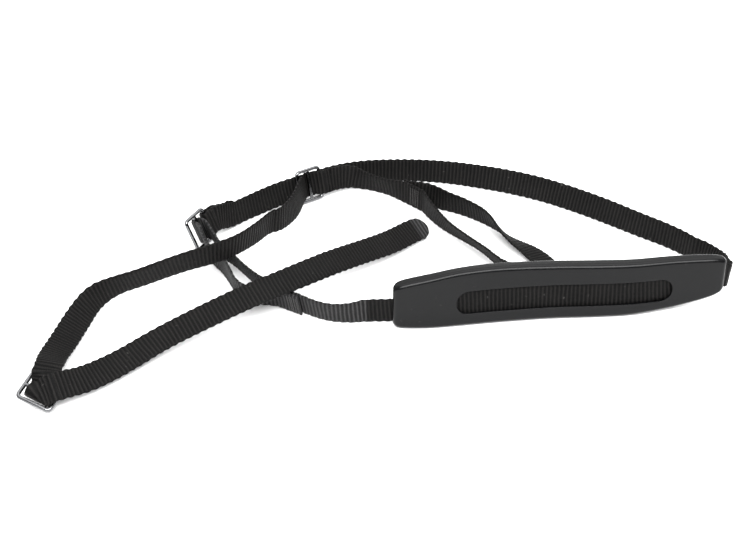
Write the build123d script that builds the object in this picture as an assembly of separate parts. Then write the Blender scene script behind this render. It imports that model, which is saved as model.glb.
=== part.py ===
from build123d import *
import os
from math import cos, sin, radians

os.makedirs("parts", exist_ok=True)

# Saxophone neck strap laid out on a table, millimetres, +Z up, table at Z = 0.

# ---- webbing -------------------------------------------------------------
WEB_W = 16.0            # width of the flat woven nylon webbing
WEB_T = 1.8             # thickness of one ply
LEAD = 3.0              # straight lead at both ends of every span

# ---- three-bar slides (all three are the same pressed-wire pattern) ------
WIRE_R = 1.2            # wire radius
BAR_STEP = 8.3          # centre distance between neighbouring bars
BAR_LEN = 20.6          # centre distance between the two end members
CORNER_R = 2.2          # corner radius on the wire centreline
FOLD_R = 2.4            # webbing centreline radius round a bar

# ---- neck pad ------------------------------------------------------------
PAD_EDGE_R = 2.6        # rounding of the pad's long edges
CHANNEL_W = 17.2        # height of the channel the webbing runs in
CHANNEL_T = 3.0         # thickness of the channel
WINDOW_H = 14.4         # height of the long window in the front wall
WINDOW_Z = 15.4         # middle height of the window
WINDOW_X0 = 47.5        # window ends along the pad
WINDOW_X1 = 176.0

# ---- sealed tip of the free end ------------------------------------------
TIP_L = 9.6
TIP_T = 1.5
TIP_R = 7.4

# ---- sewing thread ---------------------------------------------------------
THREAD_W = 0.6
THREAD_T = 0.3
THREAD_GAP = 0.06       # the thread lies just proud of the webbing
TACK_L = 12.4
TACK_ROWS = [1.4, 3.0, 4.6, 6.2, 7.8]   # how far each row lies from the sewn end

# ---- where the layout's own middle lies ----------------------------------
OX = -10.0
OY = 12.7


def V(x, y, z=0.0):
    """A point of the layout, moved so the outline is centred on the origin."""
    return Vector(x + OX, y + OY, z)


def side_and_up(tangent):
    """Horizontal left-hand side and the upward normal of a run direction."""
    side = Vector(-tangent.Y, tangent.X, 0).normalized()
    return side, tangent.cross(side).normalized()


def width_from_lean(tangent, lean):
    """Vector across the webbing: 90 stands it on edge, 0 lays it flat."""
    side, up = side_and_up(tangent)
    return side * cos(radians(lean)) + up * sin(radians(lean))


def square_to(vector, tangent):
    """The part of a vector at right angles to the run direction."""
    return (vector - tangent * vector.dot(tangent)).normalized()


def section(point, tangent, width, half_w=WEB_W / 2, half_t=WEB_T / 2):
    """One cross-section of a band as a four-cornered face."""
    tangent = tangent.normalized()
    width = square_to(width, tangent)
    face = tangent.cross(width)
    corners = [
        point + width * half_w + face * half_t,
        point - width * half_w + face * half_t,
        point - width * half_w - face * half_t,
        point + width * half_w - face * half_t,
    ]
    return Face(Wire.make_polygon(corners, close=True))


def band(stations, half_w=WEB_W / 2, half_t=WEB_T / 2):
    """A solid band through stations of (point, tangent, width vector)."""
    faces = [section(p, t, w, half_w, half_t) for p, t, w in stations]
    return loft(faces, ruled=True)


def curve_stations(points, widths):
    """Stations on the clamped quadratic curve of a control polygon."""
    last = len(points) - 1
    out = [(points[0], points[1] - points[0], widths[0])]
    for i in range(1, last):
        a = points[0] if i == 1 else (points[i - 1] + points[i]) * 0.5
        b = points[last] if i == last - 1 else (points[i] + points[i + 1]) * 0.5
        wa = widths[0] if i == 1 else (widths[i - 1] + widths[i]) * 0.5
        wb = widths[last] if i == last - 1 else (widths[i] + widths[i + 1]) * 0.5
        p, w = points[i], widths[i]
        out.append(((a + p * 2 + b) * 0.25, b - a, (wa + w * 2 + wb) * 0.25))
        out.append((b, b - p, wb))
    return out


def route(start, inner, end):
    """Control points and width vectors of a span.

    start and end are (point, run direction, width vector) on the centreline.
    inner lists (x, y, lift, lean): where the lower edge runs, how high its
    lowest corner is above the table, and how the webbing leans.
    """
    p0, d0, w0 = start
    p1, d1, w1 = end
    lower = [p0 - w0 * (WEB_W / 2)]
    lower += [V(x, y, lift) for x, y, lift, lean in inner]
    lower += [p1 - w1 * (WEB_W / 2)]
    points = [p0, p0 + d0 * LEAD]
    widths = [w0, w0]
    for i, (x, y, lift, lean) in enumerate(inner, start=1):
        run = (lower[i + 1] - lower[i - 1]).normalized()
        w = width_from_lean(run, lean)
        corner = abs(cos(radians(lean))) * WEB_T / 2
        points.append(lower[i] + w * (WEB_W / 2) + Vector(0, 0, corner))
        widths.append(w)
    points += [p1 - d1 * LEAD, p1]
    widths += [w1, w1]
    return points, widths


def span(start, inner, end):
    """A length of webbing between two ends."""
    return band(curve_stations(*route(start, inner, end)))


def end_at(x, y, lift, direction, lean):
    """A span end given by its lower edge, run direction and lean."""
    d = Vector(*direction).normalized()
    w = width_from_lean(d, lean)
    corner = abs(cos(radians(lean))) * WEB_T / 2
    return V(x, y, lift) + w * (WEB_W / 2) + Vector(0, 0, corner), d, w


def turned(end):
    """The same end, run the other way."""
    p, d, w = end
    return p, d * -1, w


class Slide:
    """A three-bar slide: across = from bar to bar, bar = along the bars."""

    def __init__(self, centre, across, bar):
        self.c = centre
        self.u = Vector(*across).normalized()
        self.b = square_to(Vector(*bar), self.u)
        self.n = self.u.cross(self.b)

    def at(self, s, m, v=0.0):
        return self.c + self.u * s + self.n * m + self.b * v

    def solid(self):
        """Wire frame with rounded corners and a straight middle bar."""
        plane = Plane(self.c, x_dir=self.u, z_dir=self.n)
        frame = plane * RectangleRounded(2 * BAR_STEP, BAR_LEN, CORNER_R)
        path = frame.face().outer_wire()
        edge = path.edges().sort_by(SortBy.LENGTH)[-1]
        start = edge.position_at(0.5)
        disc = Plane(start, z_dir=edge.tangent_at(0.5)) * Circle(WIRE_R)
        ring = sweep(disc, path=path)
        foot = self.at(0, 0, -BAR_LEN / 2)
        middle = extrude(Plane(foot, z_dir=self.b) * Circle(WIRE_R), BAR_LEN)
        return ring + middle


def fold(slide, s0, v0, opening, arm, steps=12):
    """Webbing doubled round one bar of a slide.

    s0 is the bar's place across the slide, v0 where the webbing's middle lies
    along the bar, opening the direction both plies leave in (degrees from
    across towards the front).
    """
    o = slide.u * cos(radians(opening)) + slide.n * sin(radians(opening))
    q = slide.n * cos(radians(opening)) - slide.u * sin(radians(opening))
    c = slide.at(s0, 0, v0)
    out = []
    for i in range(steps + 1):
        f = radians(-90 + 180 * i / steps)
        radial = o * -cos(f) + q * sin(f)
        around = o * sin(f) + q * cos(f)
        out.append((c + radial * FOLD_R, around, slide.b))
    p, t, w = out[0]
    out.insert(0, (p - t * arm, t, w))
    p, t, w = out[-1]
    out.append((p + t * arm, t, w))
    return out


def bar_tack(end, offsets):
    """Back-and-forth thread rows lying on the front face of a sewn end."""
    p, d, w = end
    face = d.cross(w).normalized()
    foot = p + face * (WEB_T / 2 + THREAD_T / 2 + THREAD_GAP)
    plane = Plane(foot, x_dir=w, z_dir=face)
    rows = [Pos(0, off) * Rectangle(TACK_L, THREAD_W) for off in offsets]
    for i in range(len(offsets) - 1):
        side = TACK_L / 2 - THREAD_W / 2
        if i % 2:
            side = -side
        middle = (offsets[i] + offsets[i + 1]) / 2
        reach = abs(offsets[i + 1] - offsets[i]) + THREAD_W
        rows.append(Pos(side, middle) * Rectangle(THREAD_W, reach))
    sheet = rows[0]
    for row in rows[1:]:
        sheet = sheet + row
    return extrude(plane * sheet, THREAD_T / 2, both=True)


# ---- the three slides ----------------------------------------------------
slide_middle = Slide(V(-43.4, 84.4, 11.2), (0.845, 0.535, 0), (-0.115, 0.268, 0.957))
slide_upper = Slide(V(-110.6, 28.8, 12.4), (0.52, 0.84, 0.10), (-0.35, 0.09, 0.93))
slide_lower = Slide(V(-182.9, -124.3, 6.8), (0.427, 0.850, 0.307), (-0.903, 0.382, 0.198))

# ---- span ends -----------------------------------------------------------
END_PAD_LEFT = end_at(-4.0, -53.0, 1.2, (1, 0.02, 0.02), 90)
END_PAD_RIGHT = end_at(208.4, -31.4, 11.2, (0.90, 0.42, -0.12), 90)
END_RIGHT_TURN = end_at(200.8, 10.0, 0.4, (-0.78, 0.62, -0.02), 97)
END_BEHIND = (
    slide_middle.at(0, -5.3, -1.3),
    slide_middle.u * -1,
    slide_middle.b,
)
END_PAD_LOOP = end_at(-57.2, -32.0, 0.0, (0.78, -0.63, 0), 105)
END_FRONT_LOOP = end_at(29.7, 71.0, 0.0, (-0.724, 0.690, 0), 91)
END_LOOP_A = end_at(77.0, 5.5, 0.0, (0.50, -0.866, 0), 118)
END_LOOP_B = end_at(113.4, 7.0, 0.0, (0.30, -0.954, 0), 172)
END_TIP = end_at(29.8, 32.0, 1.5, (0.79, 0.61, -0.06), 28)
END_TAIL = end_at(-170.2, -132.0, 6.5, (0.83, 0.55, -0.06), 41)

UPPER_FOLD = fold(slide_upper, BAR_STEP, -0.7, 0, 4.0)
LEGS_FOLD = fold(slide_upper, 0.0, -0.7, 100, 4.0)


# ---- webbing over and under the middle slide ------------------------------
WEAVE = [(15.0, 3.2), (12.0, 3.2), (9.3, 4.6), (0.0, -5.0), (-7.2, 3.7), (-9.1, 6.0)]
weave_points = [slide_middle.at(s, m) for s, m in WEAVE]
weave_widths = [slide_middle.b] * len(WEAVE)
END_WEAVE_RIGHT = (
    weave_points[0],
    (weave_points[1] - weave_points[0]).normalized(),
    slide_middle.b,
)
END_WEAVE_LEFT = (
    weave_points[-1],
    (weave_points[-1] - weave_points[-2]).normalized(),
    slide_middle.b,
)

# ---- webbing through the lower slide: across, front, along the bar, twist --
LOWER = [
    (14.0, 2.4, 4.0, -13), (11.0, 2.9, 3.3, -13), (8.4, 4.6, 1.2, -8),
    (0.4, -4.2, -0.4, -5), (-5.2, -2.6, -0.3, 0), (-4.9, 2.7, -0.3, 6),
    (-0.4, 4.2, -3.8, 20),
]
lower_points = [slide_lower.at(s, m, v) for s, m, v, a in LOWER]
lower_widths = [
    slide_lower.b * cos(radians(a)) + slide_lower.u * sin(radians(a))
    for s, m, v, a in LOWER
]
lower_points += [END_TAIL[0] - END_TAIL[1] * LEAD, END_TAIL[0]]
lower_widths += [END_TAIL[2], END_TAIL[2]]
lower_run = (lower_points[1] - lower_points[0]).normalized()
lower_widths[0] = square_to(lower_widths[0], lower_run)
lower_widths[1] = lower_widths[0]
END_LOWER_IN = (lower_points[0], lower_run, lower_widths[0])

# ---- spans: lower edge x, y, lift above the table, lean --------------------
BACK = [
    (192.6, 20.0, 0.0, 97), (183.7, 28.2, 0.0, 99), (166.3, 41.0, 0.0, 104),
    (149.1, 54.8, 0.0, 110), (130.9, 68.2, 0.0, 112), (112.1, 80.4, 0.0, 113),
    (92.0, 90.0, 0.0, 115), (71.3, 97.6, 0.0, 109), (50.2, 104.0, 0.0, 102),
    (28.7, 107.4, 0.0, 98), (6.8, 107.8, 0.0, 96), (-11.0, 105.2, 0.0, 99),
    (-26.0, 98.6, 0.2, 105),
]
UPPER_LEFT = [
    (-61.0, 76.4, 0.2, 110), (-72.0, 67.8, 0.0, 109), (-84.0, 58.2, 0.0, 103),
    (-93.0, 48.8, 0.4, 103),
]
RIGHT_TURN = [
    (208.2, -24.5, 8.8, 102), (208.6, -13.0, 4.2, 112), (206.0, -1.2, 1.4, 108),
]
TO_PAD = [
    (-48.2, -38.8, 0.0, 104), (-41.8, -43.2, 0.0, 104), (-36.0, -46.9, 0.0, 105),
    (-29.3, -50.2, 0.0, 106), (-22.6, -52.0, 0.0, 105), (-13.0, -53.2, 0.4, 99),
]
IN_PAD = [
    (11.0, -54.0, 2.2, 90), (32.0, -55.4, 4.4, 85), (52.0, -53.3, 5.7, 81),
    (72.0, -50.2, 6.1, 79), (103.0, -46.5, 6.1, 80), (132.0, -44.9, 6.1, 81),
    (152.0, -43.5, 6.3, 81), (176.0, -38.8, 8.1, 83), (195.0, -34.5, 10.8, 86),
]
LEG_INNER = [
    (-98.6, 19.0, 3.2, 103), (-94.4, 12.4, 0.6, 105), (-87.0, 6.0, 0.0, 108),
    (-81.6, -1.6, 0.0, 110), (-76.3, -9.1, 0.0, 111), (-68.4, -20.6, 0.0, 108),
]
LEG_OUTER = [
    (-104.6, 15.6, 2.2, 101), (-100.4, 6.6, 0.2, 98), (-94.9, 0.0, 0.0, 96),
    (-90.3, -9.1, 0.0, 95), (-86.0, -18.6, 0.0, 97), (-82.4, -27.0, 0.0, 100),
    (-76.8, -33.4, 0.0, 103), (-68.6, -35.0, 0.0, 105), (-59.6, -35.2, 0.0, 105),
    (-50.2, -40.8, 0.0, 104),
]
END_LEG_OUTER = end_at(-43.4, -45.1, 0.0, (0.85, -0.53, 0), 104)
FRONT = [
    (24.4, 76.1, 0.0, 91), (19.0, 81.2, 0.0, 91), (13.6, 86.0, 0.0, 76),
    (8.1, 90.4, 0.0, 70), (2.1, 93.4, 0.0, 71), (-4.0, 95.4, 0.4, 74),
    (-10.2, 96.2, 1.0, 80), (-16.4, 95.4, 2.2, 96), (-22.2, 92.4, 3.2, 104),
]
NARROW = [
    (35.0, 61.6, 0.0, 94), (43.4, 48.0, 0.0, 104), (52.2, 38.3, 0.0, 117),
    (60.5, 29.6, 0.0, 122), (68.4, 20.5, 0.0, 124),
]
LOOP = [
    (82.2, -9.0, 0.0, 106), (91.0, -19.0, 0.0, 84), (104.0, -20.6, 0.0, 56),
    (114.0, -11.0, 0.0, 28),
]
END_WAVY_SEWN = end_at(19.4, 83.7, 0.0, (0.724, -0.690, 0), 91)
WAVY = [
    (26.6, 78.8, 0.0, 82), (33.4, 75.2, 0.0, 72), (41.0, 72.4, 0.0, 84),
    (49.7, 68.8, 0.0, 98), (58.0, 64.2, 0.0, 101), (66.0, 58.4, 0.0, 105),
    (73.6, 51.8, 0.0, 109), (80.0, 44.4, 0.0, 117), (86.2, 37.2, 0.0, 137),
    (94.0, 31.4, 0.0, 154), (103.2, 24.4, 0.0, 166), (110.2, 15.0, 0.0, 171),
]
MIDDLE = [
    (-49.8, 52.0, 7.0, 101), (-55.9, 35.6, 10.1, 96), (-60.9, 27.6, 11.7, 92), (-66.6, 24.4, 12.6, 88),
    (-73.8, 8.4, 15.0, 86), (-85.2, -7.2, 16.8, 81), (-98.1, -16.2, 16.8, 82),
    (-111.8, -20.4, 15.4, 78), (-125.4, -24.2, 12.4, 76), (-139.1, -27.2, 8.4, 74),
    (-154.4, -29.6, 4.4, 80), (-164.4, -40.0, 1.2, 116), (-168.2, -58.4, 0.2, 145),
    (-171.6, -79.6, 1.8, 157), (-173.6, -97.0, 6.4, 165),
]
TAIL = [
    (-157.4, -122.4, 3.7, 33), (-145.4, -111.2, 2.6, 26), (-133.2, -99.6, 3.2, 20),
    (-119.3, -87.2, 5.6, 18), (-103.9, -78.2, 9.0, 21), (-88.2, -69.8, 12.4, 23),
    (-72.1, -60.4, 15.2, 23), (-55.6, -50.4, 16.6, 24), (-38.8, -38.6, 16.6, 29),
    (-22.0, -23.0, 14.2, 32), (-4.0, -4.4, 9.2, 30), (14.4, 14.4, 3.8, 32),
]
HEM = [
    (-97.7, 47.6, 1.4, 79),
]
END_HEM = end_at(-90.6, 57.2, 0.3, (0.71, 0.70, -0.04), 79)

# ---- neck pad: x, middle y, bottom z, top z, thickness, lean back ----------
PAD = [
    (10.3, -54.2, 0.6, 27.8, 7.6, 1), (16.0, -54.3, -0.2, 30.2, 8.8, 2),
    (32.0, -53.2, -0.5, 33.2, 9.2, 5), (50.0, -49.8, -0.6, 34.8, 9.4, 9),
    (72.0, -46.0, -0.6, 35.0, 9.6, 11), (103.0, -42.6, -0.6, 34.4, 9.6, 10),
    (132.0, -41.2, -0.6, 34.0, 9.6, 9), (152.0, -39.8, -0.1, 33.8, 9.4, 9),
    (176.0, -35.8, 1.8, 33.8, 9.0, 7), (192.0, -33.6, 4.6, 33.6, 8.4, 5),
    (202.0, -32.6, 7.4, 33.2, 7.6, 4), (207.5, -32.2, 10.5, 32.0, 6.4, 4),
]


def pad_section(x, y, z0, z1, thick, lean):
    """One rounded cross-section of the pad, standing across its length."""
    mid = (z0 + z1) / 2
    plane = Plane(V(x, y, mid), x_dir=(0, 1, 0), z_dir=(1, 0, 0))
    face = plane * RectangleRounded(thick, (z1 - z0), min(PAD_EDGE_R, thick / 2 - 0.4))
    axis = Axis(V(x, y, mid), (1, 0, 0))
    return face.rotate(axis, -lean)


def channel_stations():
    return curve_stations(*route(END_PAD_LEFT, IN_PAD, END_PAD_RIGHT))


def window_cutter():
    """The long round-ended opening, from the front face in to the channel."""
    length = WINDOW_X1 - WINDOW_X0
    plane = Plane(V((WINDOW_X0 + WINDOW_X1) / 2, -70.0, WINDOW_Z), x_dir=(1, 0, 0), z_dir=(0, 1, 0))
    slot = extrude(plane * SlotOverall(length, WINDOW_H), 50.0)
    back = []
    for p, t, w in channel_stations():
        out = t.normalized().cross(square_to(w, t.normalized()))
        back.append((p - out * 10.4, t, w))
    return slot - band(back, 24.0, 10.0)


def neck_pad():
    """Moulded pad with flat foot, webbing channel and front window."""
    body = loft([pad_section(*row).face() for row in PAD])
    body = body - Pos(100 + OX, -45 + OY, -10) * Box(260, 80, 20)
    channel = band(channel_stations(), CHANNEL_W / 2, CHANNEL_T / 2)
    return body - channel - window_cutter()


def tail_tip():
    """Heat-sealed rounded tip of the free end."""
    p, d, w = END_TIP
    face = d.cross(w).normalized()
    plane = Plane(p, x_dir=d, z_dir=face)
    blank = plane * Pos(TIP_L / 2, 0) * Rectangle(TIP_L, WEB_W)
    tip = extrude(blank, TIP_T / 2, both=True)
    far = tip.edges().filter_by(lambda e: abs(e.tangent_at(0.5).dot(face)) > 0.9)
    far = far.sort_by(lambda e: (e.center() - p).dot(d))[-2:]
    return fillet(far, TIP_R)


def save(shape, name):
    shape.label = name
    export_step(shape, f"parts/{name}.step")
    return shape


def main():
    save(neck_pad(), "neck_pad")
    save(band(channel_stations()), "webbing_in_pad")
    save(span(END_PAD_RIGHT, RIGHT_TURN, END_RIGHT_TURN), "webbing_right_turn")
    save(span(END_RIGHT_TURN, BACK, END_BEHIND), "webbing_back")
    save(span(END_BEHIND, UPPER_LEFT, turned(UPPER_FOLD[-1])), "webbing_upper_left")
    save(band(UPPER_FOLD), "upper_fold")
    save(span(turned(UPPER_FOLD[0]), HEM, END_HEM), "upper_hem")
    save(band(LEGS_FOLD), "legs_fold")
    save(span(LEGS_FOLD[-1], LEG_OUTER, END_LEG_OUTER), "leg_outer")
    save(span(turned(LEGS_FOLD[0]), LEG_INNER, END_PAD_LOOP), "leg_inner")
    save(span(END_PAD_LOOP, TO_PAD, END_PAD_LEFT), "webbing_to_pad")
    save(band(curve_stations(weave_points, weave_widths)), "webbing_in_slide")
    save(span(END_FRONT_LOOP, FRONT, turned(END_WEAVE_RIGHT)), "webbing_front")
    save(span(turned(END_FRONT_LOOP), NARROW, END_LOOP_A), "loop_leg_narrow")
    save(span(END_LOOP_A, LOOP, turned(END_LOOP_B)), "loop_fold")
    save(span(END_WAVY_SEWN, WAVY, END_LOOP_B), "loop_leg_wavy")
    save(span(END_WEAVE_LEFT, MIDDLE, END_LOWER_IN), "webbing_middle")
    save(band(curve_stations(lower_points, lower_widths)), "lower_fold")
    save(span(END_TAIL, TAIL, END_TIP), "webbing_tail")
    save(tail_tip(), "tail_tip")
    save(bar_tack(END_LEG_OUTER, TACK_ROWS), "stitching_pad_loop")
    save(bar_tack(turned(END_FRONT_LOOP), TACK_ROWS), "stitching_front_loop")
    save(slide_upper.solid(), "slide_upper")
    save(slide_middle.solid(), "slide_middle")
    save(slide_lower.solid(), "slide_lower")


main()
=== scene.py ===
import math

import bmesh
import bpy
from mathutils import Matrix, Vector


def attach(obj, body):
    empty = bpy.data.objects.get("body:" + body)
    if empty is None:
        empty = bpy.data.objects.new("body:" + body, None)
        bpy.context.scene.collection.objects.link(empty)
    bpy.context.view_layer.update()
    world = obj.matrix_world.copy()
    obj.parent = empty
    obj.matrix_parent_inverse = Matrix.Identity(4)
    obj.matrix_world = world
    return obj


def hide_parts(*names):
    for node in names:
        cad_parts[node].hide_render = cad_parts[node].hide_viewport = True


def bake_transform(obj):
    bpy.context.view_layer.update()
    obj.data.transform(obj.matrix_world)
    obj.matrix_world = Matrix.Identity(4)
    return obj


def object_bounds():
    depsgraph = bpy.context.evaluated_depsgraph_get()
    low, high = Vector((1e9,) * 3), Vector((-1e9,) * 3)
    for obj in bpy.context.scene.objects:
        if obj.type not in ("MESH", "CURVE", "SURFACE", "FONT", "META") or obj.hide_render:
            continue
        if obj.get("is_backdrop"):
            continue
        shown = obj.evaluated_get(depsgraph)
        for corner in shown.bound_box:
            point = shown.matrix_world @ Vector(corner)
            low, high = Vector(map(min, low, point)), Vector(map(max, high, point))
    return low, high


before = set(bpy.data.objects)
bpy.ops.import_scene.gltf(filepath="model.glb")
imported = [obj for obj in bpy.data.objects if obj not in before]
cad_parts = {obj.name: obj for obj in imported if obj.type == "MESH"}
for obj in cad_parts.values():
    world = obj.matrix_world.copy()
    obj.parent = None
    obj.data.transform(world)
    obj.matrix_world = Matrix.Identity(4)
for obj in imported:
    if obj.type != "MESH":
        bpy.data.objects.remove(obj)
low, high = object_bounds()
LOADED = [list(low), list(high)]

MM = 0.001
OX, OY = -10.0, 12.7            # where the layout's own middle lies, as in the CAD
WEB_W, WEB_T, LEAD, TIP_L = 16.0, 1.8, 3.0, 9.6
BAR_STEP, BAR_LEN, CORNER_R, FOLD_R, WIRE_R = 8.3, 20.6, 2.2, 2.4, 1.2
RIB = 2.45                      # rib pitch of the weave along the webbing
YARN = 0.92                     # pitch of the yarns across it
LENS, SENSOR = 69.6, 36.0
EYE_BACK, EYE_UP = 737.2, 516.2     # from the point looked at: 900 mm away, 35 degrees up
AIM = Vector((OX, OY, 0)) * MM
EYE = AIM + Vector((0, -EYE_BACK, EYE_UP)) * MM

scene = bpy.context.scene


# ---- camera ----------------------------------------------------------------
def camera():
    data = bpy.data.cameras.new("camera")
    data.lens, data.sensor_width = LENS, SENSOR
    data.clip_start, data.clip_end = 0.01, 20
    cam = bpy.data.objects.new("camera", data)
    scene.collection.objects.link(cam)
    cam.location = EYE
    cam.rotation_mode = "QUATERNION"
    cam.rotation_quaternion = (AIM - EYE).to_track_quat("-Z", "Y")
    scene.camera = cam


camera()


# ---- route helpers, the same rules as the CAD, millimetres -------------------
def V(x, y, z=0.0):
    return Vector((x + OX, y + OY, z))


def width_from_lean(run, lean):
    side = Vector((-run.y, run.x, 0)).normalized()
    up = run.cross(side).normalized()
    a = math.radians(lean)
    return side * math.cos(a) + up * math.sin(a)


def square_to(v, run):
    return (v - run * v.dot(run)).normalized()


def end_at(x, y, lift, direction, lean):
    d = Vector(direction).normalized()
    w = width_from_lean(d, lean)
    corner = abs(math.cos(math.radians(lean))) * WEB_T / 2
    return V(x, y, lift) + w * (WEB_W / 2) + Vector((0, 0, corner)), d, w


def turned(end):
    p, d, w = end
    return p, d * -1, w


def route(start, inner, end):
    """Control points and width vectors of one span."""
    p0, d0, w0 = start
    p1, d1, w1 = end
    lower = [p0 - w0 * (WEB_W / 2)]
    lower += [V(x, y, lift) for x, y, lift, lean in inner]
    lower += [p1 - w1 * (WEB_W / 2)]
    points = [p0, p0 + d0 * LEAD]
    widths = [w0, w0]
    for i, (x, y, lift, lean) in enumerate(inner, start=1):
        run = (lower[i + 1] - lower[i - 1]).normalized()
        w = width_from_lean(run, lean)
        corner = abs(math.cos(math.radians(lean))) * WEB_T / 2
        points.append(lower[i] + w * (WEB_W / 2) + Vector((0, 0, corner)))
        widths.append(w)
    points += [p1 - d1 * LEAD, p1]
    widths += [w1, w1]
    return points, widths


def joined(*spans):
    """Spans that meet end to end, as one run of control points."""
    points, widths = [], []
    for p, w in spans:
        start = 1 if points else 0
        points += p[start:]
        widths += w[start:]
    return points, widths


def back_to_front(span):
    return span[0][::-1], span[1][::-1]


class Slide:
    def __init__(self, centre, across, bar):
        self.c = centre
        self.u = Vector(across).normalized()
        self.b = square_to(Vector(bar), self.u)
        self.n = self.u.cross(self.b)

    def at(self, s, m, v=0.0):
        return self.c + self.u * s + self.n * m + self.b * v


def fold(slide, s0, v0, opening, arm, steps=28):
    a = math.radians(opening)
    o = slide.u * math.cos(a) + slide.n * math.sin(a)
    q = slide.n * math.cos(a) - slide.u * math.sin(a)
    c = slide.at(s0, 0, v0)
    out = []
    for i in range(steps + 1):
        f = math.radians(-90 + 180 * i / steps)
        radial = o * -math.cos(f) + q * math.sin(f)
        out.append((c + radial * FOLD_R, o * math.sin(f) + q * math.cos(f), slide.b))
    p, t, w = out[0]
    out.insert(0, (p - t * arm, t, w))
    p, t, w = out[-1]
    out.append((p + t * arm, t, w))
    return out


slide_middle = Slide(V(-43.4, 84.4, 11.2), (0.845, 0.535, 0), (-0.115, 0.268, 0.957))
slide_upper = Slide(V(-110.6, 28.8, 12.4), (0.52, 0.84, 0.10), (-0.35, 0.09, 0.93))
slide_lower = Slide(V(-182.9, -124.3, 6.8), (0.427, 0.850, 0.307), (-0.903, 0.382, 0.198))

END_PAD_LEFT = end_at(-4.0, -53.0, 1.2, (1, 0.02, 0.02), 90)
END_PAD_RIGHT = end_at(208.4, -31.4, 11.2, (0.90, 0.42, -0.12), 90)
END_RIGHT_TURN = end_at(200.8, 10.0, 0.4, (-0.78, 0.62, -0.02), 97)
END_BEHIND = (slide_middle.at(0, -5.3, -1.3), slide_middle.u * -1, slide_middle.b)
END_PAD_LOOP = end_at(-57.2, -32.0, 0.0, (0.78, -0.63, 0), 105)
END_FRONT_LOOP = end_at(29.7, 71.0, 0.0, (-0.724, 0.690, 0), 91)
END_LOOP_A = end_at(77.0, 5.5, 0.0, (0.50, -0.866, 0), 118)
END_LOOP_B = end_at(113.4, 7.0, 0.0, (0.30, -0.954, 0), 172)
END_TIP = end_at(29.8, 32.0, 1.5, (0.79, 0.61, -0.06), 28)
END_TAIL = end_at(-170.2, -132.0, 6.5, (0.83, 0.55, -0.06), 41)
END_LEG_OUTER = end_at(-43.4, -45.1, 0.0, (0.85, -0.53, 0), 104)
END_WAVY_SEWN = end_at(19.4, 83.7, 0.0, (0.724, -0.690, 0), 91)
END_HEM = end_at(-90.6, 57.2, 0.3, (0.71, 0.70, -0.04), 79)
UPPER_FOLD = fold(slide_upper, BAR_STEP, -0.7, 0, 4.0)
LEGS_FOLD = fold(slide_upper, 0.0, -0.7, 100, 4.0)

WEAVE = [(15.0, 3.2), (12.0, 3.2), (9.3, 4.6), (0.0, -5.0), (-7.2, 3.7), (-9.1, 6.0)]
weave_points = [slide_middle.at(s, m) for s, m in WEAVE]
weave_widths = [slide_middle.b] * len(WEAVE)
END_WEAVE_RIGHT = (weave_points[0], (weave_points[1] - weave_points[0]).normalized(), slide_middle.b)
END_WEAVE_LEFT = (weave_points[-1], (weave_points[-1] - weave_points[-2]).normalized(), slide_middle.b)

LOWER = [
    (14.0, 2.4, 4.0, -13), (11.0, 2.9, 3.3, -13), (8.4, 4.6, 1.2, -8),
    (0.4, -4.2, -0.4, -5), (-5.2, -2.6, -0.3, 0), (-4.9, 2.7, -0.3, 6),
    (-0.4, 4.2, -3.8, 20),
]
lower_points = [slide_lower.at(s, m, v) for s, m, v, a in LOWER]
lower_widths = [
    slide_lower.b * math.cos(math.radians(a)) + slide_lower.u * math.sin(math.radians(a))
    for s, m, v, a in LOWER
]
lower_points += [END_TAIL[0] - END_TAIL[1] * LEAD, END_TAIL[0]]
lower_widths += [END_TAIL[2], END_TAIL[2]]
lower_run = (lower_points[1] - lower_points[0]).normalized()
lower_widths[0] = square_to(lower_widths[0], lower_run)
lower_widths[1] = lower_widths[0]
END_LOWER_IN = (lower_points[0], lower_run, lower_widths[0])

# ---- spans: lower edge x, y, lift above the table, lean -----------------------
BACK = [
    (192.6, 20.0, 0.0, 97), (183.7, 28.2, 0.0, 99), (166.3, 41.0, 0.0, 104),
    (149.1, 54.8, 0.0, 110), (130.9, 68.2, 0.0, 112), (112.1, 80.4, 0.0, 113),
    (92.0, 90.0, 0.0, 115), (71.3, 97.6, 0.0, 109), (50.2, 104.0, 0.0, 102),
    (28.7, 107.4, 0.0, 98), (6.8, 107.8, 0.0, 96), (-11.0, 105.2, 0.0, 99),
    (-26.0, 98.6, 0.2, 105),
]
UPPER_LEFT = [
    (-61.0, 76.4, 0.2, 110), (-72.0, 67.8, 0.0, 109), (-84.0, 58.2, 0.0, 103),
    (-93.0, 48.8, 0.4, 103),
]
RIGHT_TURN = [(208.2, -24.5, 8.8, 102), (208.6, -13.0, 4.2, 112), (206.0, -1.2, 1.4, 108)]
TO_PAD = [
    (-48.2, -38.8, 0.0, 104), (-41.8, -43.2, 0.0, 104), (-36.0, -46.9, 0.0, 105),
    (-29.3, -50.2, 0.0, 106), (-22.6, -52.0, 0.0, 105), (-13.0, -53.2, 0.4, 99),
]
IN_PAD = [
    (11.0, -54.0, 2.2, 90), (32.0, -55.4, 4.4, 85), (52.0, -53.3, 5.7, 81),
    (72.0, -50.2, 6.1, 79), (103.0, -46.5, 6.1, 80), (132.0, -44.9, 6.1, 81),
    (152.0, -43.5, 6.3, 81), (176.0, -38.8, 8.1, 83), (195.0, -34.5, 10.8, 86),
]
LEG_INNER = [
    (-98.6, 19.0, 3.2, 103), (-94.4, 12.4, 0.6, 105), (-87.0, 6.0, 0.0, 108),
    (-81.6, -1.6, 0.0, 110), (-76.3, -9.1, 0.0, 111), (-68.4, -20.6, 0.0, 108),
]
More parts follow.
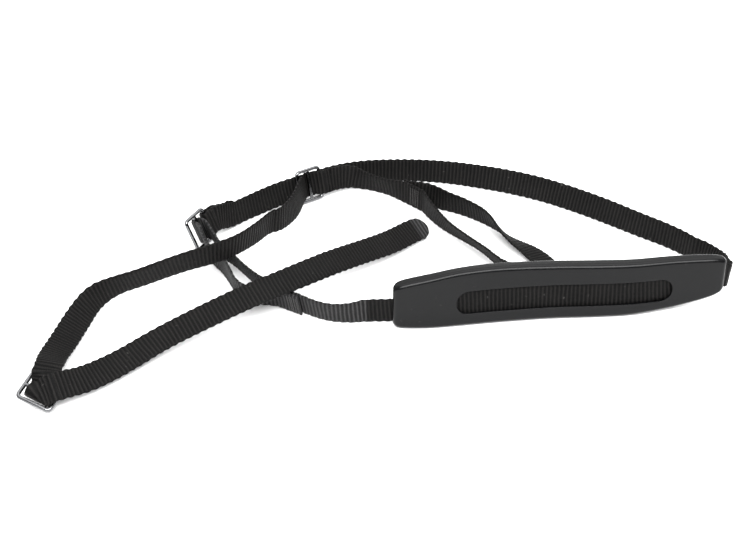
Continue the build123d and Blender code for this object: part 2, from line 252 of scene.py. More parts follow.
LEG_OUTER = [
    (-104.6, 15.6, 2.2, 101), (-100.4, 6.6, 0.2, 98), (-94.9, 0.0, 0.0, 96),
    (-90.3, -9.1, 0.0, 95), (-86.0, -18.6, 0.0, 97), (-82.4, -27.0, 0.0, 100),
    (-76.8, -33.4, 0.0, 103), (-68.6, -35.0, 0.0, 105), (-59.6, -35.2, 0.0, 105),
    (-50.2, -40.8, 0.0, 104),
]
FRONT = [
    (24.4, 76.1, 0.0, 91), (19.0, 81.2, 0.0, 91), (13.6, 86.0, 0.0, 76),
    (8.1, 90.4, 0.0, 70), (2.1, 93.4, 0.0, 71), (-4.0, 95.4, 0.4, 74),
    (-10.2, 96.2, 1.0, 80), (-16.4, 95.4, 2.2, 96), (-22.2, 92.4, 3.2, 104),
]
NARROW = [
    (35.0, 61.6, 0.0, 94), (43.4, 48.0, 0.0, 104), (52.2, 38.3, 0.0, 117),
    (60.5, 29.6, 0.0, 122), (68.4, 20.5, 0.0, 124),
]
LOOP = [
    (82.2, -9.0, 0.0, 106), (91.0, -19.0, 0.0, 84), (104.0, -20.6, 0.0, 56),
    (114.0, -11.0, 0.0, 28),
]
WAVY = [
    (26.6, 78.8, 0.0, 82), (33.4, 75.2, 0.0, 72), (41.0, 72.4, 0.0, 84),
    (49.7, 68.8, 0.0, 98), (58.0, 64.2, 0.0, 101), (66.0, 58.4, 0.0, 105),
    (73.6, 51.8, 0.0, 109), (80.0, 44.4, 0.0, 117), (86.2, 37.2, 0.0, 137),
    (94.0, 31.4, 0.0, 154), (103.2, 24.4, 0.0, 166), (110.2, 15.0, 0.0, 171),
]
MIDDLE = [
    (-49.8, 52.0, 7.0, 101), (-55.9, 35.6, 10.1, 96), (-60.9, 27.6, 11.7, 92),
    (-66.6, 24.4, 12.6, 88), (-73.8, 8.4, 15.0, 86), (-85.2, -7.2, 16.8, 81),
    (-98.1, -16.2, 16.8, 82), (-111.8, -20.4, 15.4, 78), (-125.4, -24.2, 12.4, 76),
    (-139.1, -27.2, 8.4, 74), (-154.4, -29.6, 4.4, 80), (-164.4, -40.0, 1.2, 116),
    (-168.2, -58.4, 0.2, 145), (-171.6, -79.6, 1.8, 157), (-173.6, -97.0, 6.4, 165),
]
TAIL = [
    (-157.4, -122.4, 3.7, 33), (-145.4, -111.2, 2.6, 26), (-133.2, -99.6, 3.2, 20),
    (-119.3, -87.2, 5.6, 18), (-103.9, -78.2, 9.0, 21), (-88.2, -69.8, 12.4, 23),
    (-72.1, -60.4, 15.2, 23), (-55.6, -50.4, 16.6, 24), (-38.8, -38.6, 16.6, 29),
    (-22.0, -23.0, 14.2, 32), (-4.0, -4.4, 9.2, 30), (14.4, 14.4, 3.8, 32),
]
HEM = [(-97.7, 47.6, 1.4, 79)]


# ---- node helpers -------------------------------------------------------------
class Nodes:
    """Short-hand for one material's node tree."""

    def __init__(self, name):
        self.m = bpy.data.materials.new(name)
        self.m.use_nodes = True
        self.t = self.m.node_tree
        self.t.nodes.clear()
        self.out = self.t.nodes.new("ShaderNodeOutputMaterial")
        self.bsdf = self.t.nodes.new("ShaderNodeBsdfPrincipled")
        self.t.links.new(self.bsdf.outputs[0], self.out.inputs[0])

    def add(self, kind, **values):
        n = self.t.nodes.new(kind)
        for key, value in values.items():
            setattr(n, key, value)
        return n

    def link(self, a, b):
        self.t.links.new(a, b)

    def put(self, target, value):
        if isinstance(value, (int, float, tuple, list)):
            target.default_value = value
        else:
            self.link(value, target)

    def math(self, op, a, b=0.0, clamp=False):
        n = self.add("ShaderNodeMath", operation=op, use_clamp=clamp)
        self.put(n.inputs[0], a)
        self.put(n.inputs[1], b)
        return n.outputs[0]

    def mix(self, factor, a, b):
        n = self.add("ShaderNodeMix", data_type="RGBA")
        self.put(n.inputs[0], factor)
        self.put(n.inputs[6], a)
        self.put(n.inputs[7], b)
        return n.outputs[2]

    def noise(self, vector, scale, detail=3.0, rough=0.55):
        n = self.add("ShaderNodeTexNoise")
        if vector is not None:
            self.link(vector, n.inputs["Vector"])
        n.inputs["Scale"].default_value = scale
        n.inputs["Detail"].default_value = detail
        n.inputs["Roughness"].default_value = rough
        return n.outputs[0]

    def bump(self, height, strength, distance, normal=None):
        n = self.add("ShaderNodeBump")
        n.inputs["Strength"].default_value = strength
        n.inputs["Distance"].default_value = distance
        self.link(height, n.inputs["Height"])
        if normal is not None:
            self.link(normal, n.inputs["Normal"])
        return n.outputs[0]

    def ramp(self, value, low_end, high_end):
        n = self.add("ShaderNodeMapRange")
        self.put(n.inputs[0], value)
        n.inputs[1].default_value = low_end
        n.inputs[2].default_value = high_end
        return n.outputs[0]


def webbing_material(name, dark, light, fuzz):
    """Ribbed nylon weave, its ribs lit and shaded in paint: dark is the painted shade of the grooves,
    light the painted highlight of the rib crests. The UV map holds millimetres across and along.
    """
    k = Nodes(name)
    uv = k.add("ShaderNodeUVMap", uv_map="weave").outputs[0]
    parts = k.add("ShaderNodeSeparateXYZ")
    k.link(uv, parts.inputs[0])
    across, along = parts.outputs[0], parts.outputs[1]
    obj = k.add("ShaderNodeTexCoord").outputs["Object"]
    drift = k.noise(obj, 180.0, 2.0)
    shift = k.math("MULTIPLY", k.math("SUBTRACT", drift, 0.5), 0.7)
    along = k.math("ADD", along, shift)
    rib = k.math("SINE", k.math("MULTIPLY", along, 2 * math.pi / RIB))
    rib = k.math("ADD", k.math("MULTIPLY", rib, 0.5), 0.5)
    # the yarns of one rib twist over each other, half a step apart from rib to rib
    stagger = k.math("MULTIPLY", along, math.pi / RIB)
    yarn = k.math("SINE", k.math("ADD", k.math("MULTIPLY", across, 2 * math.pi / YARN), stagger))
    yarn = k.math("ADD", k.math("MULTIPLY", yarn, 0.5), 0.5)
    fibre = k.noise(obj, 2600.0, 2.0, 0.7)
    blotch = k.noise(obj, 55.0, 3.0)
    # painted highlight on the rib crests and on the yarn crowns along them, painted shade in the grooves
    # between ribs; fibre and blotch noise add random tone on top
    rib_light_shade_and_fibre_tone = k.math("MULTIPLY", k.math("POWER", rib, 2.4), 0.62)
    rib_light_shade_and_fibre_tone = k.math("ADD", rib_light_shade_and_fibre_tone, k.math("MULTIPLY", k.math("MULTIPLY", yarn, rib), 0.30))
    rib_light_shade_and_fibre_tone = k.math("ADD", rib_light_shade_and_fibre_tone, k.math("MULTIPLY", k.math("SUBTRACT", fibre, 0.5), 0.9))
    rib_light_shade_and_fibre_tone = k.math("ADD", rib_light_shade_and_fibre_tone, k.math("MULTIPLY", k.math("SUBTRACT", blotch, 0.5), 0.5), True)
    lint = k.math("MULTIPLY", k.ramp(k.noise(obj, 420.0, 0.0), 0.82, 0.88), 0.16)
    colour = k.mix(lint, k.mix(rib_light_shade_and_fibre_tone, dark, light), (0.16, 0.155, 0.15, 1))
    k.link(colour, k.bsdf.inputs["Base Color"])
    k.bsdf.inputs["Roughness"].default_value = 0.58
    k.bsdf.inputs["Specular IOR Level"].default_value = 0.09
    k.bsdf.inputs["Sheen Weight"].default_value = fuzz
    k.bsdf.inputs["Sheen Roughness"].default_value = 0.55
    height = k.math("ADD", k.math("MULTIPLY", yarn, 0.4), k.math("MULTIPLY", fibre, 0.9))
    k.link(k.bump(height, 0.75, 0.0003), k.bsdf.inputs["Normal"])
    return k.m


def pad_material():
    """Moulded soft plastic: satin black with a fine moulded grain."""
    k = Nodes("moulded_satin_black")
    obj = k.add("ShaderNodeTexCoord").outputs["Object"]
    grain = k.noise(obj, 900.0, 3.0, 0.6)
    cloud = k.noise(obj, 30.0, 3.0)
    dust = k.ramp(k.noise(obj, 420.0, 1.0), 0.76, 0.82)
    base = k.mix(cloud, (0.0016, 0.0017, 0.0019, 1), (0.0030, 0.0031, 0.0034, 1))
    base = k.mix(k.math("MULTIPLY", dust, 0.20), base, (0.05, 0.048, 0.046, 1))
    k.link(base, k.bsdf.inputs["Base Color"])
    k.link(k.math("ADD", k.math("MULTIPLY", cloud, 0.10), 0.17), k.bsdf.inputs["Roughness"])
    k.bsdf.inputs["Specular IOR Level"].default_value = 0.17
    soft = k.add("ShaderNodeBevel", samples=6)
    soft.inputs["Radius"].default_value = 0.0007
    k.link(k.bump(grain, 0.16, 0.0002, soft.outputs[0]), k.bsdf.inputs["Normal"])
    return k.m


def chrome_material(name, base, rough):
    """Plated wire with faint rub marks."""
    k = Nodes(name)
    obj = k.add("ShaderNodeTexCoord").outputs["Object"]
    rub = k.noise(obj, 700.0, 4.0, 0.6)
    k.link(k.mix(rub, base, tuple(c * 0.86 for c in base[:3]) + (1,)), k.bsdf.inputs["Base Color"])
    k.bsdf.inputs["Metallic"].default_value = 1.0
    k.link(k.math("ADD", k.math("MULTIPLY", rub, 0.12), rough), k.bsdf.inputs["Roughness"])
    k.link(k.bump(rub, 0.06, 0.0001), k.bsdf.inputs["Normal"])
    return k.m


def thread_material():
    k = Nodes("sewing_thread")
    obj = k.add("ShaderNodeTexCoord").outputs["Object"]
    twist = k.noise(obj, 3200.0, 1.0)
    k.link(k.mix(twist, (0.006, 0.006, 0.006, 1), (0.070, 0.068, 0.066, 1)), k.bsdf.inputs["Base Color"])
    k.bsdf.inputs["Roughness"].default_value = 0.45
    return k.m


WEB = webbing_material("webbing_ribbed", (0.0004, 0.0004, 0.0004, 1), (0.0115, 0.0107, 0.0102, 1), 0.003)
# a lighter copy of the same ribbed webbing: painted light where the webbing is seen near edge-on and its
# yarn crowns catch the light
WEB_LEG_LIT = webbing_material("webbing_painted_grazing_light", (0.0020, 0.0020, 0.0021, 1), (0.044, 0.043, 0.044, 1), 0.03)
PAD = pad_material()
CHROME = chrome_material("slide_chrome", (0.17, 0.172, 0.178, 1), 0.08)
THREAD = thread_material()


# ---- curves and ribbons ----------------------------------------------------------
CURVE_STEPS = 14                    # points read from each stretch of a curve
SCALLOP, SCALLOP_IN = 0.058, 0.034  # selvedge waves, as parts of the half width
RIB_RISE, RIB_FOOT = 0.36, 0.24     # height of a rib, and its foot under the full thickness
EDGE_RISE, EDGE_FOOT = 0.12, 0.14   # the same for the selvedge
SELVEDGE = ((0.992, 0.55), (1.0, 0.0), (0.992, -0.55))


def nurbs(name, points):
    """An open quadratic NURBS curve object over control points in metres."""
    data = bpy.data.curves.new(name, "CURVE")
    data.dimensions = "3D"
    spline = data.splines.new("NURBS")
    spline.points.add(len(points) - 1)
    for sp, p in zip(spline.points, points):
        sp.co = (p[0], p[1], p[2], 1)
    spline.order_u = 3
    spline.use_endpoint_u = True
    spline.resolution_u = CURVE_STEPS
    return bpy.data.objects.new(name, data)


def read_line(points):
    """Points along the bare NURBS line of these control points."""
    obj = nurbs("bare_line", points)
    scene.collection.objects.link(obj)
    bpy.context.view_layer.update()
    mesh = bpy.data.meshes.new_from_object(obj)
    out = [v.co.copy() for v in mesh.vertices]
    bpy.data.objects.remove(obj)
    bpy.data.meshes.remove(mesh)
    return out


def even(points, widths, step):
    """The same line and widths at even steps along its length."""
    run = [0.0]
    for a, b in zip(points[:-1], points[1:]):
        run.append(run[-1] + (b - a).length)
    count = max(2, round(run[-1] / step))
    out, i = [], 0
    for k in range(count + 1):
        s = run[-1] * k / count
        while i < len(run) - 2 and run[i + 1] < s:
            i += 1
        f = (s - run[i]) / max(run[i + 1] - run[i], 1e-12)
        out.append((points[i].lerp(points[i + 1], f), widths[i].lerp(widths[i + 1], f), s))
    return out


def solid_from(bm, name):
    mesh = bpy.data.meshes.new(name)
    bm.to_mesh(mesh)
    bm.free()
    obj = bpy.data.objects.new(name, mesh)
    scene.collection.objects.link(obj)
    return obj


def finished(obj, material):
    """The same object, smooth and in one material only."""
    for p in obj.data.polygons:
        p.use_smooth = True
    obj.data.materials.clear()
    obj.data.materials.append(material)
    return obj


def ring_profile(faces=10):
    """One webbing section as (across, thick, selvedge) in half units, round its outline."""
    top = []
    for i in range(faces + 1):
        a = -1 + 2 * i / faces
        top.append((a * 0.955, 1.0 if abs(a) < 0.99 else 0.86, 0.0))
    out = top + [(a, t, 1.0) for a, t in SELVEDGE]
    out += [(a, -t, e) for a, t, e in reversed(top)]
    out += [(-a, t, 1.0) for a, t in reversed(SELVEDGE)]
    return out


PROFILE = ring_profile()


def plain(s, total):
    return 1.0, 1.0


def trimmed(s, total):
    """A cut end, heat-trimmed narrower over its last millimetres."""
    f = max(0.0, 1 - (total - s) / 5.0)
    return 1 - 0.24 * f * f, 1 - 0.25 * f


def rounded(s, total):
    """A rounded, melted end."""
    f = min(max((s - 2.2) / 7.4, 0.0), 0.999)
    return math.sqrt(1 - f * f), 1 - 0.45 * f ** 3


def ribbon(name, points, widths, material, step=0.41, phase=0.0, thick=0.84, shape=plain, ride=True):
    """Ribbed webbing along a line of points, both in metres."""
    stations = even(points, widths, step * MM)
    bm = bmesh.new()
    uv = bm.loops.layers.uv.new("weave")
    rings, along = [], []
    last = len(stations) - 1
    for i, (p, w, s) in enumerate(stations):
        a = stations[max(i - 1, 0)][0]
        b = stations[min(i + 1, last)][0]
        t = (b - a).normalized()
        w = square_to(w, t)
        face = t.cross(w)
        turn = 2 * math.pi * (s / MM + phase) / RIB
        wide, flat = shape(s / MM, stations[-1][2] / MM)
        rib = 0.5 + 0.5 * math.sin(turn)
        other = 0.5 - 0.5 * math.sin(turn)
        ring = []
        for across, up, edge in PROFILE:
            outer = edge if edge else (0.6 if abs(across) > 0.9 else 0.0)
            # the weft turns back at every second rib, by turns on either edge
            scallop = 0.5 + 0.5 * math.sin(turn / 2 + (math.pi if across > 0 else 0))
            half = WEB_W / 2 * (1 + outer * (SCALLOP * scallop - SCALLOP_IN)) * wide
            swell = (thick - RIB_FOOT + RIB_RISE * (rib if up >= 0 else other)) * flat
            if edge:
                swell = (thick - EDGE_FOOT + EDGE_RISE * scallop) * flat
            ring.append(bm.verts.new(p + w * (across * half * MM) + face * (up * swell * MM)))
        rings.append(ring)
        along.append(s / MM + phase)
    n = len(PROFILE)
    half_n = n // 2
    for i in range(last):
        for j in range(n):
            j2 = (j + 1) % n
            f = bm.faces.new((rings[i][j], rings[i + 1][j], rings[i + 1][j2], rings[i][j2]))
            a1 = PROFILE[j][0] * 8
            a2 = PROFILE[j2][0] * 8
            off = 0 if j < half_n else RIB / 2
            uvs = ((a1, along[i]), (a1, along[i + 1]), (a2, along[i + 1]), (a2, along[i]))
            for loop, (x, y) in zip(f.loops, uvs):
                loop[uv].uv = (x, y + off)
    bm.faces.new(rings[0])
    bm.faces.new(list(reversed(rings[-1])))
    bmesh.ops.recalc_face_normals(bm, faces=bm.faces)
    obj = finished(solid_from(bm, name), material)
    if ride:
        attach(obj, "webbing")
    return obj


def metres(points):
    return [p * MM for p in points]


def length_of(line):
    return sum((b - a).length for a, b in zip(line[:-1], line[1:]))


def webbing(name, span, nodes, material, cord=None, **more):
    """A ribbon that follows the NURBS line of a span's control points."""
    control = metres(span[0])
    line = read_line(control)
    across = read_line(span[1])
    obj = ribbon(name, line, across, material, **more)
    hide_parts(*nodes)
    return obj


# ---- the free-lying lengths ------------------------------------------------------
webbing(
    "strap_band",
    joined(
        route(END_PAD_RIGHT, RIGHT_TURN, END_RIGHT_TURN),
        route(END_RIGHT_TURN, BACK, END_BEHIND),
        route(END_BEHIND, UPPER_LEFT, turned(UPPER_FOLD[-1])),
    ),
    ["webbing_right_turn", "webbing_back", "webbing_upper_left"], WEB, ("object", ()),
)
webbing(
    "strap_loop",
    joined(
        back_to_front(route(END_FRONT_LOOP, FRONT, turned(END_WEAVE_RIGHT))),
        route(turned(END_FRONT_LOOP), NARROW, END_LOOP_A),
        route(END_LOOP_A, LOOP, turned(END_LOOP_B)),
        back_to_front(route(END_WAVY_SEWN, WAVY, END_LOOP_B)),
    ),
    ["webbing_front", "loop_leg_narrow", "loop_fold", "loop_leg_wavy"], WEB, ("object", ()),
)
webbing(
    "strap_middle", route(END_WEAVE_LEFT, MIDDLE, END_LOWER_IN),
    ["webbing_middle"], WEB, ("object", ()),
)
webbing(
    "strap_leg_outer", route(LEGS_FOLD[-1], LEG_OUTER, END_LEG_OUTER),
    ["leg_outer"], WEB_LEG_LIT, ("object", ()),
)
webbing(
    "strap_leg_inner",
    joined(
        route(turned(LEGS_FOLD[0]), LEG_INNER, END_PAD_LOOP),
        route(END_PAD_LOOP, TO_PAD, END_PAD_LEFT),
    ),
    ["leg_inner", "webbing_to_pad"], WEB_LEG_LIT, ("object", ()),
)


# ---- free end, cut round and sealed --------------------------------------------------
tail_line = read_line(metres(route(END_TAIL, TAIL, END_TIP)[0]))
tip_line = [END_TIP[0] + END_TIP[1] * (TIP_L * i / 12) for i in range(13)]
TIP = ribbon(
    "strap_tip", metres(tip_line), [END_TIP[2]] * 13, WEB_LEG_LIT, step=0.24,
    phase=length_of(tail_line) / MM, shape=rounded,
)
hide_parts("tail_tip")
webbing("strap_tail", route(END_TAIL, TAIL, END_TIP), ["webbing_tail"], WEB, ("bare", [TIP]))

# ---- lengths held in the pad and the slides ------------------------------------------
def held(name, span, node):
    """Webbing through the pad or a slide, made as two halves that meet in its middle."""
    line, across = read_line(metres(span[0])), read_line(span[1])
    mid = len(line) // 2
    first = ribbon(name + "_first", line[:mid + 1], across[:mid + 1], WEB, ride=False)
    second = ribbon(
        name + "_second", line[mid:], across[mid:], WEB, ride=False,
        phase=length_of(line[:mid + 1]) / MM,
    )
    for half, end in ((first, line[0]), (second, line[-1])):
        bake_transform(half)
        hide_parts(node)


held("strap_in_pad", route(END_PAD_LEFT, IN_PAD, END_PAD_RIGHT), "webbing_in_pad")
held("strap_in_slide", (weave_points, weave_widths), "webbing_in_slide")
webbing("strap_lower_fold", (lower_points, lower_widths), ["lower_fold"], WEB)
webbing(
    "strap_hem", route(turned(UPPER_FOLD[0]), HEM, END_HEM), ["upper_hem"], WEB, shape=trimmed,
)


def doubled(name, stations, node, material, ride=True):
    obj = ribbon(name, metres([s[0] for s in stations]), [s[2] for s in stations], material, ride=ride)
    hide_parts(node)
    return obj


turning = doubled("strap_upper_fold", UPPER_FOLD, "upper_fold", WEB, ride=False)
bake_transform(turning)
doubled("strap_legs_fold", LEGS_FOLD, "legs_fold", WEB_LEG_LIT)


# ---- wire slides ------------------------------------------------------------------------
def wire(name, radius, facets, material):
    """A round-wire curve with no lines in it yet."""
    data = bpy.data.curves.new(name, "CURVE")
    data.dimensions = "3D"
    data.bevel_depth = radius * MM
    data.bevel_resolution = facets
    data.use_fill_caps = True
    data.materials.append(material)
    return data


def poly_line(data, points, closed=False):
    line = data.splines.new("POLY")
    line.points.add(len(points) - 1)
    for sp, p in zip(line.points, points):
        sp.co = (*(p * MM), 1)
    line.use_cyclic_u = closed


def placed(data, body, node):
    """The wire as a piece that rides on a body and stands for a node."""
    obj = bpy.data.objects.new(data.name, data)
    scene.collection.objects.link(obj)
    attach(obj, body)
    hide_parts(node)


def wire_slide(name, slide, node, body):
    """Three-bar slide bent from round wire, with its middle bar let in at both ends."""
    data = wire(name, WIRE_R, 8, CHROME)
    ring = []
    for sx, sv, start in ((1, 1, 0), (-1, 1, 90), (-1, -1, 180), (1, -1, 270)):
        cx = sx * (BAR_STEP - CORNER_R)
        cv = sv * (BAR_LEN / 2 - CORNER_R)
        for i in range(9):
            a = math.radians(start + 90 * i / 8)
            ring.append(slide.at(cx + CORNER_R * math.cos(a), 0, cv + CORNER_R * math.sin(a)))
    poly_line(data, ring, closed=True)
    poly_line(data, [slide.at(0, 0, v) for v in (-BAR_LEN / 2, BAR_LEN / 2)])
    placed(data, body, node)


wire_slide("slide_wire_upper", slide_upper, "slide_upper", "upper_slide")
wire_slide("slide_wire_middle", slide_middle, "slide_middle", "middle_slide")
wire_slide("slide_wire_lower", slide_lower, "slide_lower", "lower_slide")


# ---- stitching -----------------------------------------------------------------------------
TACK_ROWS = [1.4, 3.0, 4.6, 6.2, 7.8]       # rows of stitches, back from the sewn end
TACK_LEN, TACK_STITCHES = 12.4, 9
THREAD_R, THREAD_LIFT, SLANT = 0.17, 0.12, 0.16


def stitching(name, end, node):
    """Rows of short slanted stitches on the front face of a sewn end."""
    p, d, w = end
    face = d.cross(w).normalized()
    data = wire(name, THREAD_R, 2, THREAD)
    foot = p + face * (WEB_T / 2 + THREAD_LIFT)
    for back in TACK_ROWS:
        for i in range(TACK_STITCHES):
            a = -TACK_LEN / 2 + TACK_LEN * (i + 0.12) / TACK_STITCHES
            b = -TACK_LEN / 2 + TACK_LEN * (i + 0.88) / TACK_STITCHES
            poly_line(data, [
                foot - d * (back - SLANT) + w * a - face * 0.10,
                foot - d * back + w * ((a + b) / 2) + face * 0.06,
                foot - d * (back + SLANT) + w * b - face * 0.10,
            ])
    placed(data, "webbing", node)


stitching("tack_pad_loop", END_LEG_OUTER, "stitching_pad_loop")
stitching("tack_front_loop", turned(END_FRONT_LOOP), "stitching_front_loop")

# ---- neck pad: x, middle y, bottom z, top z, thickness, lean back ------------------------------
PAD_ROWS = [
    (10.3, -54.2, 0.6, 27.8, 7.6, 1), (16.0, -54.3, -0.2, 30.2, 8.8, 2),
    (32.0, -53.2, -0.5, 33.2, 9.2, 5), (50.0, -49.8, -0.6, 34.8, 9.4, 9),
    (72.0, -46.0, -0.6, 35.0, 9.6, 11), (103.0, -42.6, -0.6, 34.4, 9.6, 10),
    (132.0, -41.2, -0.6, 34.0, 9.6, 9), (152.0, -39.8, -0.1, 33.8, 9.4, 9),
    (176.0, -35.8, 1.8, 33.8, 9.0, 7), (192.0, -33.6, 4.6, 33.6, 8.4, 5),
    (202.0, -32.6, 7.4, 33.2, 7.6, 4), (207.5, -32.2, 10.5, 32.0, 6.4, 4),
]
PAD_EDGE_R = 2.6
WINDOW = (47.5, 176.0, 15.4, 14.4)      # left, right, middle height, height
CHANNEL = (17.2, 3.0)
END_LEFT_R, END_RIGHT_R = 3.0, 2.4      # how far each end rounds over
END_STEPS, END_SHRINK = 8, 0.8
PAD_STEPS = 132
SHARP = 38                              # degrees, from which an edge is drawn sharp
BEHIND = (26.0, 12.0, -12.4)            # half width, half depth and shift of what the window leaves


def slope(j, c):
    """Slope of column c at pad row j, from the rows beside it."""
    a, b = max(j - 1, 0), min(j + 1, len(PAD_ROWS) - 1)
    return (PAD_ROWS[b][c] - PAD_ROWS[a][c]) / (PAD_ROWS[b][0] - PAD_ROWS[a][0])


def smooth_row(x):
    """Pad row at x, on a smooth curve through the given rows."""
    xs = [r[0] for r in PAD_ROWS]
    i = 0
    while i < len(xs) - 2 and xs[i + 1] < x:
        i += 1
    f = (x - xs[i]) / (xs[i + 1] - xs[i])
    out = []
    for c in range(1, 6):
        h = xs[i + 1] - xs[i]
        a, b = PAD_ROWS[i][c], PAD_ROWS[i + 1][c]
        out.append(
            a * (2 * f ** 3 - 3 * f ** 2 + 1) + b * (3 * f ** 2 - 2 * f ** 3)
            + slope(i, c) * h * (f ** 3 - 2 * f ** 2 + f) + slope(i + 1, c) * h * (f ** 3 - f ** 2)
        )
    return out


def rounded_outline(thick, tall, radius, arc=7):
    """Rounded rectangle outline as (y, z), the same number of points for every size."""
    out = []
    for sy, sz, start in ((1, 1, 0), (-1, 1, 90), (-1, -1, 180), (1, -1, 270)):
        cy, cz = sy * (thick / 2 - radius), sz * (tall / 2 - radius)
        for i in range(arc + 1):
            a = math.radians(start + 90 * i / arc)
            out.append((cy + radius * math.cos(a), cz + radius * math.sin(a)))
        if sy == sz:
            for i in range(1, 3):
                y = (thick / 2 - radius) * (sy - 2 * sy * i / 3)
                out.append((y, sz * tall / 2))
        else:
            for i in range(1, 10):
                z = (tall / 2 - radius) * (sz - 2 * sz * i / 10)
                out.append((sy * thick / 2, z))
    return out


def loft_rings(bm, rings):
    n = len(rings[0])
    for a, b in zip(rings[:-1], rings[1:]):
        for j in range(n):
            bm.faces.new((a[j], b[j], b[(j + 1) % n], a[(j + 1) % n]))
    bm.faces.new(rings[0])
    bm.faces.new(list(reversed(rings[-1])))
    bmesh.ops.recalc_face_normals(bm, faces=bm.faces)


def pad_ring(bm, x, grow=0.0):
    y, z0, z1, thick, lean = smooth_row(x)
    thick, z0, z1 = thick + grow, z0 - grow / 2, z1 + grow / 2
    tall, mid = z1 - z0, (z0 + z1) / 2
    a = math.radians(-lean)
    ring = []
    for py, pz in rounded_outline(thick, tall, min(PAD_EDGE_R, thick / 2 - 0.4)):
        q = Vector((0, py * math.cos(a) - pz * math.sin(a), py * math.sin(a) + pz * math.cos(a)))
        p = V(x, y, mid) + q
        p.z = max(p.z, 0.0)
        ring.append(bm.verts.new(p * MM))
    return ring


def cut(target, tool):
    mod = target.modifiers.new("cut", "BOOLEAN")
    mod.operation, mod.solver, mod.object = "DIFFERENCE", "EXACT", tool
    bpy.context.view_layer.update()
    made = bpy.data.meshes.new_from_object(target.evaluated_get(bpy.context.evaluated_depsgraph_get()))
    target.modifiers.clear()
    target.data = made
    bpy.data.objects.remove(tool)


def box_band(bm, line, across, half_w, half_t, shift=0.0):
    rings, last = [], len(line) - 1
    for i, (p, w) in enumerate(zip(line, across)):
        t = (line[min(i + 1, last)] - line[max(i - 1, 0)]).normalized()
        w = square_to(w, t)
        face = t.cross(w)
        rings.append([
            bm.verts.new(p + w * (a * half_w * MM) + face * ((b * half_t + shift) * MM))
            for a, b in ((1, 1), (-1, 1), (-1, -1), (1, -1))
        ])
    loft_rings(bm, rings)


def end_rings(bm, end, inward):
    """Rings from the small end face inward; inward is the rounding, signed along x."""
    rings = []
    for i in range(END_STEPS + 1):
        a = math.pi / 2 * i / END_STEPS
        shrink = -2 * abs(inward) * END_SHRINK * (1 - math.sin(a))
        rings.append(pad_ring(bm, end + inward * (1 - math.cos(a)), shrink))
    return rings


def pad_body():
    bm = bmesh.new()
    first, last = PAD_ROWS[0][0], PAD_ROWS[-1][0]
    stations = [first + (last - first) * i / PAD_STEPS for i in range(PAD_STEPS + 1)]
    rings = end_rings(bm, first, END_LEFT_R)
    rings += [pad_ring(bm, x) for x in stations if first + END_LEFT_R < x < last - END_RIGHT_R]
    rings += end_rings(bm, last, -END_RIGHT_R)[::-1]
    loft_rings(bm, rings)
    return solid_from(bm, "neck_pad_moulding")


def band_solid(name, line, across, half_w, half_t, shift=0.0):
    bm = bmesh.new()
    box_band(bm, line, across, half_w, half_t, shift)
    return solid_from(bm, name)


def window_solid():
    """The round-ended window, right through the pad."""
    x0, x1, zc, tall = WINDOW
    bm = bmesh.new()
    outline = []
    for sx, start in ((1, -90), (-1, 90)):
        cx = (x0 + x1) / 2 + sx * ((x1 - x0) / 2 - tall / 2)
        for i in range(17):
            a = math.radians(start + 180 * i / 16)
            outline.append((cx + tall / 2 * math.cos(a), zc + tall / 2 * math.sin(a)))
    rings = []
    for y in (-72.0, -20.0):
        rings.append([bm.verts.new(V(x, y, z) * MM) for x, z in outline])
    loft_rings(bm, rings)
    return solid_from(bm, "window")


def neck_pad():
    """Moulded pad: smooth body, webbing channel and window in front of the webbing."""
    pad = pad_body()
    span = route(END_PAD_LEFT, IN_PAD, END_PAD_RIGHT)
    line, across = read_line(metres(span[0])), read_line(span[1])
    line, across = line[::3] + [line[-1]], across[::3] + [across[-1]]
    cut(pad, band_solid("channel", line, across, CHANNEL[0] / 2, CHANNEL[1] / 2))
    window = window_solid()
    cut(window, band_solid("behind", line, across, *BEHIND))
    cut(pad, window)
    finished(pad, PAD)
    pad.data.set_sharp_from_angle(angle=math.radians(SHARP))
    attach(pad, "pad")
    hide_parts("neck_pad")


neck_pad()


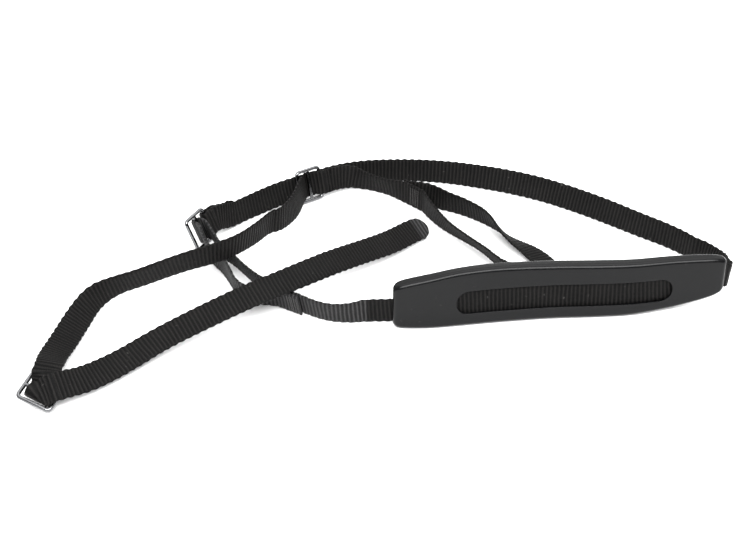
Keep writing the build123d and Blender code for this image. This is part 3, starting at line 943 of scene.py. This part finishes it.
# ---- floor and light ----------------------------------------------------------------------------
def studio():
    bpy.ops.mesh.primitive_plane_add(size=14, location=(0, 1.5, min(LOADED[0][2], 0) - 0.0004))
    floor = bpy.context.object
    floor.name = "floor"
    k = Nodes("floor_white")
    k.bsdf.inputs["Base Color"].default_value = (0.93, 0.93, 0.93, 1)
    k.bsdf.inputs["Roughness"].default_value = 0.9
    k.bsdf.inputs["Specular IOR Level"].default_value = 0.1
    floor.data.materials.append(k.m)
    floor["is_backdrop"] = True
    world = bpy.data.worlds.new("studio")
    scene.world = world
    world.use_nodes = True
    t = world.node_tree
    t.nodes.clear()
    out = t.nodes.new("ShaderNodeOutputWorld")
    back = t.nodes.new("ShaderNodeBackground")
    coord = t.nodes.new("ShaderNodeTexCoord")
    split = t.nodes.new("ShaderNodeSeparateXYZ")
    # bright above and behind, dim on the viewer's side
    up = t.nodes.new("ShaderNodeMath")
    up.operation = "MULTIPLY_ADD"
    up.inputs[1].default_value = 0.95
    back_side = t.nodes.new("ShaderNodeMath")
    back_side.operation = "MULTIPLY_ADD"
    back_side.inputs[1].default_value = 0.45
    back_side.inputs[2].default_value = 0.30
    ramp = t.nodes.new("ShaderNodeMapRange")
    ramp.inputs[1].default_value = 0.0
    ramp.inputs[2].default_value = 1.1
    ramp.inputs[3].default_value = 0.10
    ramp.inputs[4].default_value = 1.0
    t.links.new(coord.outputs["Generated"], split.inputs[0])
    t.links.new(split.outputs[1], back_side.inputs[0])
    t.links.new(split.outputs[2], up.inputs[0])
    t.links.new(back_side.outputs[0], up.inputs[2])
    t.links.new(up.outputs[0], ramp.inputs[0])
    t.links.new(ramp.outputs[0], back.inputs[0])
    t.links.new(back.outputs[0], out.inputs[0])
    back.inputs[1].default_value = 1.0
    for name, place, size, power in (
        ("key", (-0.2, 0.5, 2.0), (2.2, 2.2), 26.0),
        ("fill", (0.9, 0.8, 1.5), (1.4, 1.4), 8.0),
        ("strip", (0.1, -1.15, 1.4), (2.1, 0.9), 80.0),
    ):
        data = bpy.data.lights.new(name, "AREA")
        data.shape, data.energy = "RECTANGLE", power
        data.size, data.size_y = size
        lamp = bpy.data.objects.new(name, data)
        scene.collection.objects.link(lamp)
        lamp.location = place
        lamp.rotation_mode = "QUATERNION"
        lamp.rotation_quaternion = (AIM - Vector(place)).to_track_quat("-Z", "Y")


studio()
scene.view_settings.view_transform = "Standard"
scene.view_settings.look = "None"

low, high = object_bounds()
